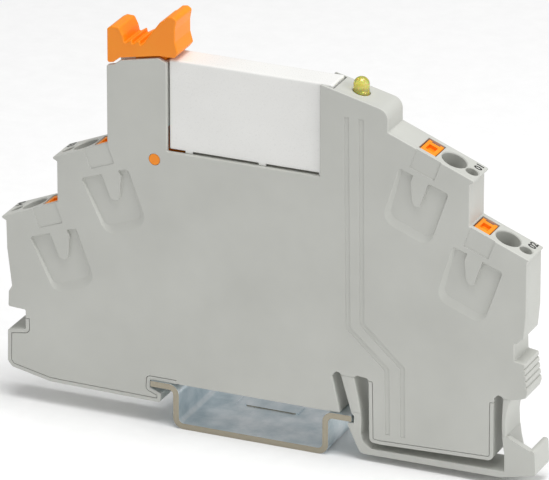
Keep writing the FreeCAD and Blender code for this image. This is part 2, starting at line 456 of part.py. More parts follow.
# ---------------------------------------------------------------- terminals
SOCKET_Z = BAY_Z - 4.9        # lower end of the relay's socket contacts
for i, term in enumerate(TERMINALS, 1):
    b_u, b_y = BUTTON_U / 2, BUTTON_Y / 2
    button = prism([(-b_u, -BUTTON_SINK), (b_u, -BUTTON_SINK), (b_u, 1.2 - BUTTON_LEN, 0.3),
                    (0.4, -BUTTON_LEN, 0.3), (-b_u, -BUTTON_LEN, 0.3)], -b_y, b_y)
    button = rounded(button, 0.15, lambda e: e.BoundBox.ZMin > -BUTTON_SINK - 0.01)
    driver = [box(-0.75, 0.75, -1.1, 0.7, -0.75, 1), box(-0.75, 0.75, 1.45, 2.2, -0.45, 1)]
    nodes["push_button_%d" % i] = placed(cut(button, driver), term)
    sy = SPRING_W / 2
    # fixed leg, loop below the button, clamping leg across the conductor path
    loop = [(u, v - BUTTON_LEN) for u, v in (
        (-1.55, -4.45), (-1.75, -2.7), (-1.7, -1.5), (-1.35, -0.85), (-0.75, -0.55),
        (0.1, -0.6), (2.3, -1.35), (6.05, -2.8))]
    nodes["clamp_spring_%d" % i] = placed(strip(loop, SPRING_T, -sy, sy), term)
    # contact leg beside the conductor, foot on the shelf
    by = BUSBAR_W / 2
    leg_u, leg_v = TIP_U - 2.05, SHELF_V + 0.4
    leg = placed(strip([(leg_u, -ENTRY_DEPTH - 0.3), (leg_u, leg_v), (-1.2, leg_v)],
                       BUSBAR_T, -by, by), term)
    start = at(term, -1.15, leg_v)
    if term[2] > 0:
        y0, y1 = 0.45, 0.45 + STRIP_W
        end_x = PCB_X[1] - 1.6
        run = strip([start, (start[0] - 1.2, start[1] + 0.3), (end_x, start[1] + 0.3)], 0.6, y0, y1)
        nodes["busbar_%d" % i] = fuse([leg, run])
    else:
        x = PIN_X[0] if i == 3 else PIN_X[1]
        y0, y1 = -STRIP_W / 2, STRIP_W / 2
        run = strip([start, (start[0] + 1.2, start[1] - 0.3), (x, start[1] - 0.3), (x, SOCKET_Z + 0.6)],
                    0.6, y0, y1)
        nodes["busbar_%d" % i] = fuse([leg, run])


# ---------------------------------------------------------------- socket contacts
def socket(x):
    """Two spring leaves that grip a relay pin."""
    g = PIN_T / 2 + PIN_FIT
    leaf = box(x - 0.6, x + 0.6, g, g + 0.3, SOCKET_Z + 0.3, BAY_Z - WALL - 0.2)
    return [leaf, leaf.mirror(V(0, 0, 0), V(0, 1, 0)),
            box(x - 0.6, x + 0.6, -g - 0.3, g + 0.3, SOCKET_Z, SOCKET_Z + 0.5)]


for i, x in ((3, PIN_X[0]), (4, PIN_X[1])):
    nodes["busbar_%d" % i] = fuse([nodes["busbar_%d" % i]] + socket(x))
for i, (x, z) in enumerate(((PIN_X[3], SOCKET_Z - 2.4), (PIN_X[2], SOCKET_Z - 5.6)), 1):
    run = strip([(PCB_X[0] + 1.6, z), (x, z), (x, SOCKET_Z + 0.3)], 0.6, 0.45, 0.45 + STRIP_W)
    nodes["coil_feed_%d" % i] = fuse(
        [run, box(x - 0.3, x + 0.3, -0.5, 0.5, SOCKET_Z - 0.4, SOCKET_Z + 0.3)] + socket(x))

# ---------------------------------------------------------------- indicator board
nodes["indicator_board"] = box(PCB_X[0], PCB_X[1], -PCB_T / 2, PCB_T / 2, PCB_Z[0], PCB_Z[1])
pf = -PCB_T / 2
pc, pt = (PCB_X[0] + PCB_X[1]) / 2 - 0.15, PCB_Z[1]
nodes["rectifier"] = box(pc - 2.0, pc + 2.0, pf - 1.3, pf, pt - 9.6, pt - 6.4)
nodes["series_resistor"] = Part.makeCylinder(0.65, 4.2, V(pc - 1.8, pf - 0.65, pt - 3.2), V(1, 0, 0))
nodes["freewheel_diode"] = box(pc - 1.6, pc + 1.6, pf - 1.1, pf, PCB_Z[0] + 6.1, PCB_Z[0] + 7.9)
nodes["smoothing_capacitor"] = box(pc - 1.4, pc + 1.8, pf - 1.4, pf, PCB_Z[0] + 10.1, PCB_Z[0] + 12.5)
LED_BASE = pt + 1.3           # flange of the lamp
dome = fuse([Part.makeCylinder(LED_R, LED_TOP - LED_R - LED_BASE - 0.7, V(LED_X, 0, LED_BASE + 0.7)),
             Part.makeSphere(LED_R, V(LED_X, 0, LED_TOP - LED_R)).common(
                 box(LED_X - 3, LED_X + 3, -3, 3, LED_TOP - LED_R, LED_TOP + 1)),
             Part.makeCylinder(LED_R + 0.3, 0.7, V(LED_X, 0, LED_BASE))])
nodes["led_lens"] = dome
for i, dx in enumerate((-0.9, 0.9), 1):
    nodes["led_lead_%d" % i] = box(LED_X + dx - 0.2, LED_X + dx + 0.2, pf - 0.42, pf - 0.02,
                                   LED_BASE - 2.7, LED_BASE)

# ---------------------------------------------------------------- plug-in relay
ry = RELAY_T / 2
cap = box(RELAY_X0, RELAY_X1, -ry, ry, RELAY_Z0, RELAY_Z1)
cap = rounded(cap, 0.35, lambda e: e.BoundBox.ZMax > RELAY_Z1 - 0.01 or e.BoundBox.ZLength > 5)
w = RELAY_WALL
cap = cap.cut(box(RELAY_X0 + w, RELAY_X1 - w, -ry + w, ry - w, RELAY_Z0 - 1, RELAY_Z1 - w))
nubs = [box(x - 0.6, x + 0.6, sy0, sy0 + w, BAY_Z + NUB_GAP, RELAY_Z0 + 0.3)
        for x in (RELAY_X0 + 3.4, RELAY_X0 + 16.0, RELAY_X1 - 1.7) for sy0 in (-ry, ry - w)]
nodes["relay_cover"] = fuse([cap] + nubs)
bx0, bx1, by0 = RELAY_X0 + w + 0.05, RELAY_X1 - w - 0.05, ry - w - 0.05
BASE_TOP = RELAY_Z0 + 1.2
yoke_x1 = RELAY_X1 - w - 0.35
YOKE_T = 0.7
CARD_Z1 = RELAY_Z1 - w - CARD_DROP
CARD_Z0 = CARD_Z1 - CARD_H
base = fuse([box(bx0, bx1, -by0, by0, RELAY_Z0, BASE_TOP),
             box(PIN_X[0] - 1.9, PIN_X[0] - 1.1, -1.2, 1.2, BASE_TOP, CARD_Z0 - 4.6)])   # back stop
pin_holes = [box(x - PIN_W / 2, x + PIN_W / 2, -PIN_T / 2, PIN_T / 2, RELAY_Z0 - 1, BASE_TOP + 0.1)
             for x in PIN_X]
nodes["relay_base"] = base.cut(Part.makeCompound(pin_holes))


def pin(x, top):
    return box(x - PIN_W / 2, x + PIN_W / 2, -PIN_T / 2, PIN_T / 2, RELAY_Z0 - PIN_LEN, top)


core_x0 = PIN_X[1] + 3.55
arm_x1 = core_x0 - ARMATURE_GAP
arm_x0 = arm_x1 - 0.7
yoke_top = BASE_TOP + YOKE_T
BOBBIN_Z0, BOBBIN_Z1 = yoke_top + 0.1, CARD_Z0 - COIL_DROP
COIL_Z = (BOBBIN_Z0 + BOBBIN_Z1) / 2
yw = by0 - 0.3                # half width of the yoke
nodes["coil_core"] = box(core_x0, yoke_x1 - YOKE_T, -0.6, 0.6, COIL_Z - 1.4, COIL_Z + 1.4)
nodes["yoke"] = fuse([box(arm_x0 + 0.1, yoke_x1, -yw, yw, BASE_TOP, yoke_top),
                      box(yoke_x1 - YOKE_T, yoke_x1, -yw, yw, BASE_TOP, BOBBIN_Z1 - 0.9)]).cut(
    Part.makeCompound([box(x - 0.9, x + 0.9, -0.75, 0.75, BASE_TOP - 1, yoke_top + 1) for x in PIN_X[2:]]))
fl0, fl1 = core_x0 + 0.45, yoke_x1 - YOKE_T - 0.1
bw = by0 - 0.05               # half width of the bobbin's flanges
barrel = 0.95, 1.75           # half width and half height of its barrel
spool = [box(fl0, fl0 + 0.55, -bw, bw, BOBBIN_Z0, BOBBIN_Z1),
         box(fl1 - 0.55, fl1, -bw, bw, BOBBIN_Z0, BOBBIN_Z1),
         box(fl0, fl1, -barrel[0], barrel[0], COIL_Z - barrel[1], COIL_Z + barrel[1])]
nodes["coil_bobbin"] = fuse(spool).cut(
    box(core_x0 - 3, fl1 + 3, -0.62, 0.62, COIL_Z - 1.42, COIL_Z + 1.42))
nodes["coil_winding"] = box(fl0 + 0.57, fl1 - 0.57, 0.1 - bw, bw - 0.1, BOBBIN_Z0 + 0.25, BOBBIN_Z1 - 0.25).cut(
    box(core_x0 - 3, fl1 + 3, -barrel[0] - 0.02, barrel[0] + 0.02,
        COIL_Z - barrel[1] - 0.02, COIL_Z + barrel[1] + 0.02))
ARM_TOP = CARD_Z1 - 1.2
nodes["armature"] = box(arm_x0, arm_x1, 0.4 - by0, by0 - 0.4, yoke_top + 0.08, ARM_TOP)
# card slides along the top and carries the moving contact with the armature
cw = by0 - 0.25
slot_gap = 0.15
card = box(PIN_X[0] - 1.2, arm_x1 + 1.0, -cw, cw, CARD_Z0, CARD_Z1)
card = cut(card, [box(arm_x0 - slot_gap, arm_x1 + slot_gap, -cw, cw, CARD_Z0 - 1, ARM_TOP + 0.35),
                  box(PIN_X[0] - 0.1 - slot_gap, PIN_X[0] + 0.1 + slot_gap, -cw, cw,
                      CARD_Z0 - 1, ARM_TOP + 0.35),
                  box(PIN_X[0] + 1.0, arm_x0 - 1.0, -1.2, 1.2, CARD_Z0 - 1, CARD_Z1 + 1)])
nodes["actuator_card"] = card
CONTACT_Z = CARD_Z0 - 2.2
lw, fw = by0 - 0.5, by0 - 0.7                # half widths of the moving and fixed contacts
leaf = box(PIN_X[0] - 0.1, PIN_X[0] + 0.1, -lw, lw, BASE_TOP + 0.75, ARM_TOP)
rivet = Part.makeCylinder(0.8, 0.5, V(PIN_X[0] + 0.1, 0, CONTACT_Z), V(1, 0, 0))
tail = Part.makeCylinder(0.45, 0.25, V(PIN_X[0] - 0.35, 0, CONTACT_Z), V(1, 0, 0))
nodes["moving_contact"] = fuse([leaf, rivet, tail])
nodes["contact_post"] = fuse([pin(PIN_X[0], BASE_TOP + 0.1),
                              box(PIN_X[0] - 0.5, PIN_X[0] + 0.5, -lw, lw, BASE_TOP, BASE_TOP + 0.6)])
fx = PIN_X[0] + 0.6 + CONTACT_GAP
nodes["fixed_contact"] = fuse([
    pin(PIN_X[1], BASE_TOP + 0.1),
    box(fx + 0.5, PIN_X[1] + 0.4, -fw, fw, BASE_TOP, BASE_TOP + 0.4),
    box(fx + 0.5, fx + 0.9, -fw, fw, BASE_TOP, CONTACT_Z + 1.2),
    Part.makeCylinder(0.8, 0.5, V(fx, 0, CONTACT_Z), V(1, 0, 0))])
for i, x in enumerate(PIN_X[2:], 1):
    nodes["coil_pin_%d" % i] = pin(x, yoke_top + 0.05)

# ---------------------------------------------------------------- write one STEP file per piece
for name, shape in nodes.items():
    shape.exportStep("parts/%s.step" % name)
print(len(nodes), "nodes")
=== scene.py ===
import json
import math

import bmesh
import bpy
from mathutils import Matrix, Vector


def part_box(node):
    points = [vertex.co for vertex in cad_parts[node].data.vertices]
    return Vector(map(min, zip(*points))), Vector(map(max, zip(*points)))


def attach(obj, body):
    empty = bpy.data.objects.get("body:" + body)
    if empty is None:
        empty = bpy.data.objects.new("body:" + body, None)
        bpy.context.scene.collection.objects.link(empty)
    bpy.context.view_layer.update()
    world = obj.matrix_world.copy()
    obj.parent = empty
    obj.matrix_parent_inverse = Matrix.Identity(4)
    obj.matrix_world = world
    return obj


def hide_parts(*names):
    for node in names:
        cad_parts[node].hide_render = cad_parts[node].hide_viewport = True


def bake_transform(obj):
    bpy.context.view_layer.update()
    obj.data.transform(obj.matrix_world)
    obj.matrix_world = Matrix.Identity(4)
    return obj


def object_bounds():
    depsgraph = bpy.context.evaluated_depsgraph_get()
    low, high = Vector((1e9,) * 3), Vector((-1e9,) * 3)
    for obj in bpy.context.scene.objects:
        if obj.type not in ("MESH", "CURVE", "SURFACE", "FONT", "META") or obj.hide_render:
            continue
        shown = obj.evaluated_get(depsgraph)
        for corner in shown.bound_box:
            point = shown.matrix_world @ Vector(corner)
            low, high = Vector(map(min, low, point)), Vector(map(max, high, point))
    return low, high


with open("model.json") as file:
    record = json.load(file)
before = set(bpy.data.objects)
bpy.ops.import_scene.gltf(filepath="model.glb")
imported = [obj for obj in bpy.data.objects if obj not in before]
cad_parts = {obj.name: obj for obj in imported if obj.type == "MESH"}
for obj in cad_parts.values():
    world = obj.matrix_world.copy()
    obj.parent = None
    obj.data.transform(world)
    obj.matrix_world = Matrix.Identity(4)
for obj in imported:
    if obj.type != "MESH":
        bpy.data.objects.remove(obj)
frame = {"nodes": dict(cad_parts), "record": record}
cad_box = [list(corner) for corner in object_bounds()]
nodes = frame["nodes"]
mounts = {m["name"]: m for m in frame["record"]["mounts"]}
scene = bpy.context.scene
MM = 0.001


# ---------------------------------------------------------------- nodes and colours
def linear(hex_colour):
    """sRGB hex to the linear colour that a socket takes."""
    parts = [int(hex_colour[i:i + 2], 16) / 255 for i in (1, 3, 5)]
    return (*[c / 12.92 if c <= 0.04045 else ((c + 0.055) / 1.055) ** 2.4 for c in parts], 1.0)


def add(tree, kind, settings=None, **sockets):
    """Add a node: settings are its properties; each socket (spaces written _) takes a number or an output."""
    node = tree.nodes.new(kind)
    for key, value in (settings or {}).items():
        setattr(node, key, value)
    for key, value in sockets.items():
        name = key.replace("_", " ")
        target = next(s for s in node.inputs if s.name == name and s.enabled)
        if isinstance(value, bpy.types.NodeSocket):
            tree.links.new(value, target)
        else:
            target.default_value = value
    return node


def stops(node, *points):
    """Give a colour ramp its (position, hex colour) stops."""
    elements = node.color_ramp.elements
    while len(elements) < len(points):
        elements.new(0.5)
    for element, (position, colour) in zip(elements, points):
        element.position, element.color = position, linear(colour)
    return node.outputs["Color"]


def towards(tree, share, colour, hex_colour):
    """Colour drawn towards a hex colour where share is high."""
    mix = add(tree, "ShaderNodeMix", {"data_type": "RGBA"})
    tree.links.new(share, mix.inputs["Factor"])
    tree.links.new(colour, mix.inputs[6])
    mix.inputs[7].default_value = linear(hex_colour)
    return mix.outputs[2]


def material(name):
    """Empty node material and the coordinates of its surface."""
    made = bpy.data.materials.new(name)
    made.use_nodes = True
    tree = made.node_tree
    tree.nodes.clear()
    return made, tree, add(tree, "ShaderNodeTexCoord")


# ---------------------------------------------------------------- finishes
def moulded(name, shade, base, light, rough, grain_mm=0.2, grain=0.25, edge_mm=0.14, edge_highlight="#DDDDD8",
            edge_highlight_share=0.35, **extra):
    """Injection-moulded plastic: slow drift of colour, spark-eroded grain, edges broken, with a painted
    highlight that makes them paler.
    """
    made, tree, where = material(name)
    at = where.outputs["Object"]
    drift = add(tree, "ShaderNodeTexNoise", Vector=at, Scale=1 / (13 * MM), Detail=3.0, Roughness=0.55)
    fine = add(tree, "ShaderNodeTexNoise", Vector=at, Scale=1 / (grain_mm * MM), Detail=2.0, Roughness=0.6)
    colour = stops(add(tree, "ShaderNodeValToRGB", Fac=drift.outputs["Fac"]),
                   (0.3, shade), (0.5, base), (0.7, light))
    # soft corner normals; where they leave the true ones there is an edge, and a painted highlight makes it a
    # little paler
    soft = add(tree, "ShaderNodeBevel", {"samples": 6}, Radius=edge_mm * MM)
    true = add(tree, "ShaderNodeNewGeometry")
    along = add(tree, "ShaderNodeVectorMath", {"operation": "DOT_PRODUCT"})
    tree.links.new(soft.outputs["Normal"], along.inputs[0])
    tree.links.new(true.outputs["True Normal"], along.inputs[1])
    painted_edge_highlight = add(tree, "ShaderNodeMapRange", Value=along.outputs["Value"],
              From_Min=0.99, From_Max=0.75, To_Min=0.0, To_Max=edge_highlight_share)
    # painted highlight: colour drawn paler along the edges
    colour = towards(tree, painted_edge_highlight.outputs["Result"], colour, edge_highlight)
    sheen = add(tree, "ShaderNodeMapRange", Value=fine.outputs["Fac"],
                From_Min=0.3, From_Max=0.7, To_Min=rough - 0.05, To_Max=rough + 0.07)
    bump = add(tree, "ShaderNodeBump", Strength=grain, Distance=0.02 * MM,
               Height=fine.outputs["Fac"], Normal=soft.outputs["Normal"])
    shader = add(tree, "ShaderNodeBsdfPrincipled", Base_Color=colour,
                 Roughness=sheen.outputs["Result"], Normal=bump.outputs["Normal"], IOR=1.53, **extra)
    add(tree, "ShaderNodeOutputMaterial", Surface=shader.outputs["BSDF"])
    return made


def plated(name, shade, base, rough, line_mm=0.4, stretch=(1, 1, 1), cut="", bump_strength=0.2):
    """Rolled or drawn metal: lines along its length, cloudy plating, and bare cut ends if cut is a colour."""
    made, tree, where = material(name)
    at = where.outputs["Object"]
    drawn = add(tree, "ShaderNodeMapping", Vector=at, Scale=stretch)
    lines = add(tree, "ShaderNodeTexNoise", Vector=drawn.outputs["Vector"], Scale=1 / (line_mm * MM),
                Detail=4.0, Roughness=0.65)
    cloud = add(tree, "ShaderNodeTexNoise", Vector=at, Scale=1 / (4 * MM), Detail=4.0, Roughness=0.6)
    colour = stops(add(tree, "ShaderNodeValToRGB", Fac=cloud.outputs["Fac"]), (0.3, shade), (0.68, base))
    if cut:
        side = add(tree, "ShaderNodeSeparateXYZ", Vector=where.outputs["Normal"])
        facing = add(tree, "ShaderNodeMath", {"operation": "ABSOLUTE"})
        tree.links.new(side.outputs["Y"], facing.inputs[0])
        sawn = add(tree, "ShaderNodeMapRange", Value=facing.outputs["Value"], From_Min=0.8, From_Max=0.98)
        colour = towards(tree, sawn.outputs["Result"], colour, cut)
    sheen = add(tree, "ShaderNodeMapRange", Value=lines.outputs["Fac"],
                From_Min=0.25, From_Max=0.75, To_Min=rough - 0.08, To_Max=rough + 0.1)
    soft = add(tree, "ShaderNodeBevel", {"samples": 4}, Radius=0.12 * MM)
    bump = add(tree, "ShaderNodeBump", Strength=bump_strength, Distance=0.01 * MM,
               Height=lines.outputs["Fac"], Normal=soft.outputs["Normal"])
    shader = add(tree, "ShaderNodeBsdfPrincipled", Base_Color=colour, Roughness=sheen.outputs["Result"],
                 Normal=bump.outputs["Normal"], Metallic=1.0)
    add(tree, "ShaderNodeOutputMaterial", Surface=shader.outputs["BSDF"])
    return made


# polyamide 66, spark-eroded mould: matt light grey with a slight green cast, edges catch the light
polyamide_grey = moulded("polyamide_light_grey", "#BFC0BA", "#C3C4BE", "#C7C8C2", 0.5, edge_highlight="#E4E4E0")
# orange polyamide of the ejector lever: satin, deeper in the hollows, a little light gets into thin edges
polyamide_orange = moulded("polyamide_orange", "#FB8C00", "#FF9000", "#FF960A", 0.45, grain=0.15,
                           edge_highlight="#FFAE50", edge_highlight_share=0.4, Subsurface_Weight=0.04, Subsurface_Scale=0.5 * MM)
# orange push buttons: the same plastic in a brighter batch
polyamide_bright = moulded("polyamide_bright_orange", "#FB8E00", "#FF9404", "#FF9A10", 0.45, grain=0.12,
                           edge_mm=0.1, edge_highlight="#FFB458", edge_highlight_share=0.4, Subsurface_Weight=0.04,
                           Subsurface_Scale=0.4 * MM)
# PBT relay cap from a polished mould: near white, a faint gloss
pbt_white = moulded("pbt_white", "#EBEBE8", "#EEEEEB", "#F1F1EE", 0.3, grain=0.06, edge_highlight="#FFFFFF",
                    edge_highlight_share=0.5, edge_mm=0.25)
# natural PBT of bobbin and relay base: creamy and dull
pbt_natural = moulded("pbt_natural", "#D0CBBA", "#D8D4C4", "#DDD9CB", 0.45, grain=0.15, edge_mm=0.06)
# acetal card: slippery, cold white
acetal_white = moulded("acetal_white", "#D2D3D1", "#D9DAD8", "#DFE0DE", 0.33, grain=0.1, edge_mm=0.06)
# transfer-moulded epoxy of the small components: black with a fine grit
epoxy_black = moulded("moulded_epoxy_black", "#161617", "#1B1B1C", "#222223", 0.5, grain_mm=0.1,
                      edge_highlight="#3A3A3C", edge_mm=0.06)
# lacquered resistor body
lacquer_beige = moulded("resistor_lacquer_beige", "#C4AD7E", "#CDB78A", "#D5C096", 0.32, grain=0.1,
                        edge_mm=0.06, Coat_Weight=0.4)
# glass-epoxy board under green solder resist: smooth and wet-looking
resist_green = moulded("solder_resist_green", "#1B5233", "#1F5B38", "#246541", 0.3, grain_mm=0.5,
                       grain=0.2, edge_highlight="#8C8A55", edge_mm=0.06, Coat_Weight=0.4)
# cold-rolled rail, zinc-plated and blue passivated; rolling lines along it, sawn ends warm and bare
zinc_plate = plated("zinc_plated_steel", "#C4D2D8", "#EDF3F6", 0.38, line_mm=0.5, stretch=(1, 0.06, 1),
                    cut="#A39C8C")
# tin plate on copper: soft white metal
tin_plate = plated("tin_plated_copper", "#C8C4B8", "#D8D5CC", 0.3)
# stainless spring strip: drawn, bright
spring_steel = plated("stainless_spring_steel", "#B2B2B0", "#C9C9C7", 0.24, stretch=(0.2, 1, 0.2))
# spring bronze of the contact leaf
contact_bronze = plated("spring_bronze", "#B98A4C", "#CC9E60", 0.3)
# nickel-plated soft iron of yoke, core and armature
soft_iron = plated("nickel_plated_iron", "#A8A6A0", "#C0BEB9", 0.34)
# enamelled winding wire: red-brown copper under clear lacquer
wire_copper = plated("enamelled_copper_wire", "#8E3F1C", "#B4562B", 0.25, line_mm=0.3)

# tinted diffusing epoxy of the lamp: clear yellow, cloudy inside, wet outer skin
lamp_epoxy, tree, where = material("diffusing_yellow_epoxy")
haze = add(tree, "ShaderNodeTexNoise", Vector=where.outputs["Object"], Scale=1 / (0.9 * MM), Detail=2.0)
tint = stops(add(tree, "ShaderNodeValToRGB", Fac=haze.outputs["Fac"]), (0.35, "#F2EA60"), (0.65, "#FAF48A"))
wet = add(tree, "ShaderNodeMapRange", Value=haze.outputs["Fac"], To_Min=0.04, To_Max=0.1)
gel = add(tree, "ShaderNodeBsdfPrincipled", Base_Color=tint, Roughness=wet.outputs["Result"], IOR=1.53,
          Transmission_Weight=0.6,
          Subsurface_Weight=0.6, Subsurface_Scale=0.6 * MM)
add(tree, "ShaderNodeOutputMaterial", Surface=gel.outputs["BSDF"])

# pad-printed ink: dense black, slightly uneven cover
ink_black, tree, where = material("printed_ink_black")
cover = add(tree, "ShaderNodeTexNoise", Vector=where.outputs["Object"], Scale=1 / (0.25 * MM), Detail=2.0)
ink = stops(add(tree, "ShaderNodeValToRGB", Fac=cover.outputs["Fac"]), (0.3, "#141414"), (0.75, "#2A2A2A"))
film = add(tree, "ShaderNodeBsdfPrincipled", Base_Color=ink, Roughness=0.45, IOR=1.5)
add(tree, "ShaderNodeOutputMaterial", Surface=film.outputs["BSDF"])

FINISH = {
    polyamide_grey: ("housing_shell", "front_cover", "rail_foot", "foot_flexure_left", "foot_flexure_right"),
    polyamide_orange: ("ejector_lever",), pbt_white: ("relay_cover",),
    pbt_natural: ("relay_base", "coil_bobbin"), acetal_white: ("actuator_card",),
    polyamide_bright: ("push_button_1", "push_button_2", "push_button_3", "push_button_4"),
    wire_copper: ("coil_winding",), soft_iron: ("coil_core", "yoke", "armature"),
    contact_bronze: ("moving_contact", "fixed_contact"),
    spring_steel: ("clamp_spring_1", "clamp_spring_2", "clamp_spring_3", "clamp_spring_4"),
    tin_plate: ("contact_post", "coil_pin_1", "coil_pin_2", "coil_feed_1", "coil_feed_2", "led_lead_1",
                "led_lead_2", "busbar_1", "busbar_2", "busbar_3", "busbar_4"),
    lamp_epoxy: ("led_lens",), resist_green: ("indicator_board",),
    epoxy_black: ("rectifier", "freewheel_diode", "smoothing_capacitor"),
    lacquer_beige: ("series_resistor",), zinc_plate: ("din_rail_section",),
}
for finish, names in FINISH.items():
    for name in names:
        nodes[name].data.materials.clear()
        nodes[name].data.materials.append(finish)


# ---------------------------------------------------------------- mesh helpers
def piece(name, mesh, finish, body=""):
    """Link a finished mesh as a piece, with its finish and body."""
    mesh.materials.clear()
    mesh.materials.append(finish)
    made = bpy.data.objects.new(name, mesh)
    scene.collection.objects.link(made)
    if body:
        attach(made, body)
    return made


def skin(name, rings):
    """Closed skin over rings of points, each with the same count."""
    form = bmesh.new()
    loops = [[form.verts.new(p) for p in ring] for ring in rings]
    count = len(rings[0])
    for low, high in zip(loops, loops[1:]):
        for i in range(count):
            form.faces.new((low[i], low[(i + 1) % count], high[(i + 1) % count], high[i]))
    form.faces.new(loops[0][::-1])
    form.faces.new(loops[-1])
    bmesh.ops.recalc_face_normals(form, faces=form.faces[:])
    mesh = bpy.data.meshes.new(name)
    form.to_mesh(mesh)
    form.free()
    mesh.polygons.foreach_set("use_smooth", [True] * len(mesh.polygons))
    mesh.set_sharp_from_angle(angle=math.radians(40))
    return mesh


def soft_rectangle(half_a, half_b, radius, arc=3):
    """Corner points of a rectangle with rounded corners, as (a, b) pairs."""
    out = []
    for sa, sb, turn in ((1, 1, 0), (-1, 1, 90), (-1, -1, 180), (1, -1, 270)):
        for i in range(arc + 1):
            angle = math.radians(turn + 90 * i / arc)
            out.append((sa * (half_a - radius) + radius * math.cos(angle),
                        sb * (half_b - radius) + radius * math.sin(angle)))
    return out


def through(points, per_span):
    """Smooth run through points (tuples of any size)."""
    out = []
    for i in range(len(points) - 1):
        p = [points[max(i - 1, 0)], points[i], points[i + 1], points[min(i + 2, len(points) - 1)]]
        for k in range(per_span):
            t = k / per_span
            out.append(tuple(0.5 * (2 * b + (c - a) * t + (2 * a - 5 * b + 4 * c - d) * t * t
                                    + (3 * b - a - 3 * c + d) * t ** 3) for a, b, c, d in zip(*p)))
    return out + [tuple(points[-1])]


# ---------------------------------------------------------------- sprung arms of the rail foot
def foot_arm(name, rows, edge=0.12 * MM):
    """Sprung arm between housing and foot, skinned as one fixed shape; the real arm bends. rows: share of the
    height from the root, left and right edges as shares of the width."""
    low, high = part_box(name)
    wide, tall = high[0] - low[0], high[2] - low[2]
    mid_y, half_y = (low[1] + high[1]) / 2, (high[1] - low[1]) / 2
    rings = []
    for down, left, right in through(rows, 8):
        x0, x1 = low[0] + left * wide, low[0] + right * wide
        rings.append([((x0 + x1) / 2 + a, mid_y + b, high[2] - down * tall)
                      for a, b in soft_rectangle((x1 - x0) / 2, half_y, edge)])
    made = piece(name + "_bending", skin(name, rings), polyamide_grey)
    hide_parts(name)
    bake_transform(made)


foot_arm("foot_flexure_left", [(0.0, 0.0, 0.652), (0.25, 0.127, 0.74), (0.517, 0.262, 0.841),
                               (0.76, 0.386, 0.925), (1.0, 0.507, 1.0)])
foot_arm("foot_flexure_right", [(0.0, 0.143, 1.0), (0.276, 0.06, 0.68), (0.559, 0.02, 0.5),
                                (0.78, 0.03, 0.53), (1.0, 0.071, 0.571)])

# ---------------------------------------------------------------- terminals: clamp springs and numbers
SPRING_T, SPRING_W = 0.35 * MM, 3.4 * MM
SPRING_RUN = [(-1.55, -10.35), (-1.72, -8.6), (-1.66, -7.4), (-1.35, -6.72), (-0.75, -6.45), (0.1, -6.5),
              (2.3, -7.25), (6.05, -8.7)]       # mm down the terminal's slope and out of its face
ENTRY_DOWN = 4.05 * MM          # conductor hole below the button's centre, along the slope
ENTRY_SUNK = 0.4 * MM           # its stated mouth lies this far under the face
NUMBER_DOWN = 7.75 * MM
NUMBER_ASIDE = 2.25 * MM        # from the test hole's centre towards the back
NUMBER_H = 1.85 * MM
INK_T = 0.008 * MM


def terminal_axes(number):
    """Origin at the button's centre on the sloping face, then the ways down the slope and out of it."""
    entry = mounts["wire_entry_%d" % number]
    out = Vector(entry["axis"]).normalized()
    down = Vector((out.z, 0, -out.x)) * math.copysign(1, out.x)
    return Vector(entry["pos_m"]) - down * ENTRY_DOWN + out * ENTRY_SUNK, down, out


def clamp_spring(number):
    """Bent strip spring under a push button, skinned as one fixed shape; the real spring's free leg goes down
    with the button.
    """
    origin, down, out = terminal_axes(number)

    def place(u, v):
        return origin + down * u * MM + out * v * MM

    run = [place(*p) for p in through(SPRING_RUN, 6)]
    rings = []
    for i, point in enumerate(run):
        way = (run[min(i + 1, len(run) - 1)] - run[max(i - 1, 0)]).normalized()
        across = Vector((0, 1, 0))
        thick = way.cross(across)
        rings.append([point + thick * a + across * b
                      for a, b in soft_rectangle(SPRING_T / 2, SPRING_W / 2, 0.08 * MM, 2)])
    name = "clamp_spring_%d" % number
    made = piece(name + "_bent", skin(name, rings), spring_steel)
    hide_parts(name)
    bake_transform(made)


def printed_number(number):
    """Terminal number printed on the sloping face behind the test hole, read from the module's end."""
    probe = mounts["probe_entry_%d" % number]
    origin, down, out = terminal_axes(number)
    text = bpy.data.curves.new("number", "FONT")
    text.body, text.size, text.extrude = "%02d" % number, NUMBER_H, INK_T
    text.offset = 0.05 * MM
    text.align_x = text.align_y = "CENTER"
    holder = bpy.data.objects.new("number", text)
    scene.collection.objects.link(holder)
    view = bpy.context.evaluated_depsgraph_get()
    mesh = bpy.data.meshes.new_from_object(holder.evaluated_get(view))
    bpy.data.objects.remove(holder)
    up = -down
    right = up.cross(out)
    centre = origin + down * NUMBER_DOWN + out * 0.006 * MM
    centre.y = probe["pos_m"][1] + NUMBER_ASIDE
    mesh.transform(Matrix.Translation(centre) @ Matrix((right, up, out)).transposed().to_4x4())
    piece("terminal_number_%d" % number, mesh, ink_black, "module")


for terminal in (1, 2, 3, 4):
    clamp_spring(terminal)
    printed_number(terminal)


# ---------------------------------------------------------------- status lamp
def turned(name, profile, x, y, sides=48):
    """Shape turned about an upright axis at (x, y) from (radius, height) pairs, closed at both ends."""
    rings = [[(x + r * math.cos(2 * math.pi * i / sides), y + r * math.sin(2 * math.pi * i / sides), z)
              for i in range(sides)] for r, z in profile]
    return skin(name, rings)


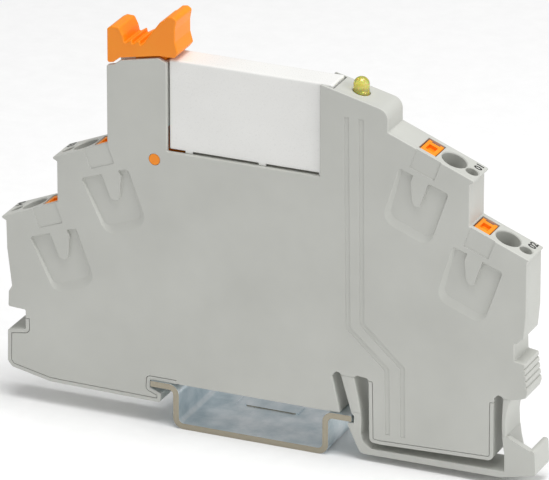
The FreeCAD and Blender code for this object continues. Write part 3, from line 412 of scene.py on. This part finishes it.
low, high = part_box("led_lens")
lamp_x, lamp_y = (low[0] + high[0]) / 2, (low[1] + high[1]) / 2
COLLAR_R, COLLAR_H = (high[0] - low[0]) / 2, 0.7 * MM
EASE = 0.06 * MM                # rounding of the collar's corners
LAMP_R = COLLAR_R - 0.3 * MM
dome_z = high[2] - LAMP_R
lamp_profile = [(0.1 * MM, low[2]), (COLLAR_R - EASE, low[2]), (COLLAR_R, low[2] + EASE),
                (COLLAR_R, low[2] + COLLAR_H - EASE), (COLLAR_R - EASE, low[2] + COLLAR_H),
                (LAMP_R, low[2] + COLLAR_H + 0.02 * MM), (LAMP_R, (low[2] + dome_z) / 2)]
lamp_profile += [(LAMP_R * math.cos(math.radians(a)), dome_z + LAMP_R * math.sin(math.radians(a)))
                 for a in list(range(0, 86, 6)) + [88]]
lens = piece("lamp_dome", turned("lamp_dome", lamp_profile, lamp_x, lamp_y), lamp_epoxy,
             "module")
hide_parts("led_lens")
# lead frame cast inside the dome: reflector cup on one lead, bond post on the other
cup = [(0.15, 0.75), (0.2, 0.8), (0.22, 2.3), (0.5, 2.55), (0.62, 3.1), (0.5, 3.12), (0.3, 2.75),
       (0.05, 2.72)]
post = [(0.12, 0.75), (0.16, 0.8), (0.16, 2.4), (0.3, 2.5), (0.32, 2.9), (0.26, 3.0), (0.05, 3.02)]
for name, shape, dx in (("lamp_reflector_cup", cup, 0.35), ("lamp_bond_post", post, -0.75)):
    mesh = turned(name, [(r * MM, low[2] + z * MM) for r, z in shape], lamp_x + dx * MM, lamp_y, 24)
    piece(name, mesh, tin_plate, "module")


# ---------------------------------------------------------------- coil winding
def wire_layer_tree():
    """One layer of turns: a tube round a soft rectangle, repeated along the coil."""
    tree = bpy.data.node_groups.new("wire_layer", "GeometryNodeTree")
    for name, kind in (("Turns", "NodeSocketInt"), ("Pitch", "NodeSocketFloat"), ("Width", "NodeSocketFloat"),
                       ("Height", "NodeSocketFloat"), ("Corner", "NodeSocketFloat"),
                       ("Wire Radius", "NodeSocketFloat"), ("Finish", "NodeSocketMaterial")):
        tree.interface.new_socket(name, in_out="INPUT", socket_type=kind)
    tree.interface.new_socket("Geometry", in_out="OUTPUT", socket_type="NodeSocketGeometry")
    given = tree.nodes.new("NodeGroupInput").outputs
    turn = add(tree, "GeometryNodeCurvePrimitiveQuadrilateral", Width=given["Width"], Height=given["Height"])
    eased = add(tree, "GeometryNodeFilletCurve", {"mode": "POLY"}, Curve=turn.outputs["Curve"], Count=4,
                Radius=given["Corner"])
    section = add(tree, "GeometryNodeCurvePrimitiveCircle", Resolution=8, Radius=given["Wire Radius"])
    tube = add(tree, "GeometryNodeCurveToMesh", Curve=eased.outputs["Curve"],
               Profile_Curve=section.outputs["Curve"])
    step = add(tree, "ShaderNodeCombineXYZ", Z=given["Pitch"])
    line = add(tree, "GeometryNodeMeshLine", Count=given["Turns"], Offset=step.outputs["Vector"])
    laid = add(tree, "GeometryNodeInstanceOnPoints", Points=line.outputs["Mesh"],
               Instance=tube.outputs["Mesh"])
    real = add(tree, "GeometryNodeRealizeInstances", Geometry=laid.outputs["Instances"])
    smooth = add(tree, "GeometryNodeSetShadeSmooth", Geometry=real.outputs["Geometry"])
    dressed = add(tree, "GeometryNodeSetMaterial", Geometry=smooth.outputs["Geometry"],
                  Material=given["Finish"])
    add(tree, "NodeGroupOutput", Geometry=dressed.outputs["Geometry"])
    return tree


def grown(tree, **values):
    """Plain mesh that a tree makes with its inputs set by their identifiers."""
    holder = bpy.data.objects.new("holder", bpy.data.meshes.new("holder"))
    scene.collection.objects.link(holder)
    maker = holder.modifiers.new("maker", "NODES")
    maker.node_group = tree
    for socket in tree.interface.items_tree:
        key = socket.name.replace(" ", "_")
        if socket.in_out == "INPUT" and key in values:
            maker[socket.identifier] = values[key]
    holder.update_tag()
    view = bpy.context.evaluated_depsgraph_get()
    mesh = bpy.data.meshes.new_from_object(holder.evaluated_get(view))
    bpy.data.objects.remove(holder)
    return mesh


WIRE_D = 0.3 * MM          # real wire is a quarter of this, too fine to show
low, high = (Vector(c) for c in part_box("coil_winding"))
size = high - low
LAYERS = 3
LAY = 1.02                      # least distance between turns, in wire diameters
TURN_CORNER = 0.4 * MM
turns = int((size.x - WIRE_D) / (WIRE_D * LAY)) + 1
pitch = (size.x - WIRE_D) / (turns - 1)
BARREL_W, BARREL_H = 1.96 * MM, 3.56 * MM       # barrel of the bobbin, with a hair of slack
form = bmesh.new()
layer_tree = wire_layer_tree()
for layer in range(LAYERS):
    share = layer / (LAYERS - 1)
    wide = BARREL_W + WIRE_D + (size.y - BARREL_W - 2 * WIRE_D) * share
    tall = BARREL_H + WIRE_D + (size.z - BARREL_H - 2 * WIRE_D) * share
    mesh = grown(layer_tree, Turns=turns, Pitch=pitch, Width=wide, Height=tall, Corner=TURN_CORNER,
                 Wire_Radius=WIRE_D / 2, Finish=wire_copper)
    # the tree lays the turns along its own Z; the coil lies along X
    middle = (low + high) / 2
    mesh.transform(Matrix.Translation((low.x + WIRE_D / 2, middle.y, middle.z))
                   @ Matrix(((0, 0, 1), (1, 0, 0), (0, 1, 0))).to_4x4())
    form.from_mesh(mesh)
bmesh.ops.recalc_face_normals(form, faces=form.faces[:])
mesh = bpy.data.meshes.new("coil_turns")
form.to_mesh(mesh)
form.free()
winding = piece("coil_turns", mesh, wire_copper, "relay")
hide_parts("coil_winding")

# ---------------------------------------------------------------- studio
# matt paper sweep: near white, very faint fibre
paper, tree, where = material("studio_paper")
fibre = add(tree, "ShaderNodeTexNoise", Vector=where.outputs["Object"], Scale=1 / (3 * MM), Detail=3.0)
tone = stops(add(tree, "ShaderNodeValToRGB", Fac=fibre.outputs["Fac"]), (0.3, "#FBFBFB"), (0.7, "#FEFEFE"))
sheet = add(tree, "ShaderNodeBsdfPrincipled", Base_Color=tone, Roughness=0.9)
add(tree, "ShaderNodeOutputMaterial", Surface=sheet.outputs["BSDF"])
FLOOR_GAP, FLOOR_HALF = 0.02 * MM, 3.0
floor_z = cad_box[0][2] - FLOOR_GAP
mesh = bpy.data.meshes.new("studio_floor")
corners = [(a * FLOOR_HALF, b * FLOOR_HALF, floor_z) for a, b in ((-1, -1), (1, -1), (1, 1), (-1, 1))]
mesh.from_pydata(corners, [], [(0, 1, 2, 3)])
mesh.materials.append(paper)
floor = bpy.data.objects.new("studio_floor", mesh)
scene.collection.objects.link(floor)

SKY_STRENGTH = 0.42
world = bpy.data.worlds.new("studio_world")
scene.world = world
world.use_nodes = True
world.node_tree.nodes["Background"].inputs["Color"].default_value = (1, 1, 1, 1)
world.node_tree.nodes["Background"].inputs["Strength"].default_value = SKY_STRENGTH
scene.view_settings.view_transform = "Standard"


def softbox(name, place, aim, width, height, watts):
    """Rectangular area light facing aim."""
    lamp = bpy.data.lights.new(name, "AREA")
    lamp.shape, lamp.size, lamp.size_y, lamp.energy = "RECTANGLE", width, height, watts
    made = bpy.data.objects.new(name, lamp)
    made.location = place
    made.rotation_mode = "QUATERNION"
    made.rotation_quaternion = (Vector(aim) - Vector(place)).to_track_quat("-Z", "Y")
    scene.collection.objects.link(made)


MIDDLE = (0, 0, 0.03)
softbox("overhead_softbox", (0.1, -0.05, 0.7), MIDDLE, 0.4, 0.4, 3.3)
softbox("right_softbox", (0.6, -0.1, 0.3), MIDDLE, 0.3, 0.3, 1.2)

# ---------------------------------------------------------------- camera
# long lens over a metre away, looking down from the module's right
CAMERA_AT = Vector((404.22, -923.34, 447.67)) * MM
SENSOR_W = 36.0                 # mm
FOCAL = 452.2623                # mm, on that sensor
azimuth, elevation = math.radians(23.5), math.radians(22.7)
back = Vector((math.sin(azimuth) * math.cos(elevation), -math.cos(azimuth) * math.cos(elevation),
               math.sin(elevation)))
camera = bpy.data.objects.new("camera", bpy.data.cameras.new("camera"))
camera.location = CAMERA_AT
camera.rotation_mode = "QUATERNION"
camera.rotation_quaternion = (-back).to_track_quat("-Z", "Y")
camera.data.sensor_width = SENSOR_W
camera.data.lens = FOCAL
camera.data.clip_start, camera.data.clip_end = 0.01, 10.0
scene.collection.objects.link(camera)
scene.camera = camera
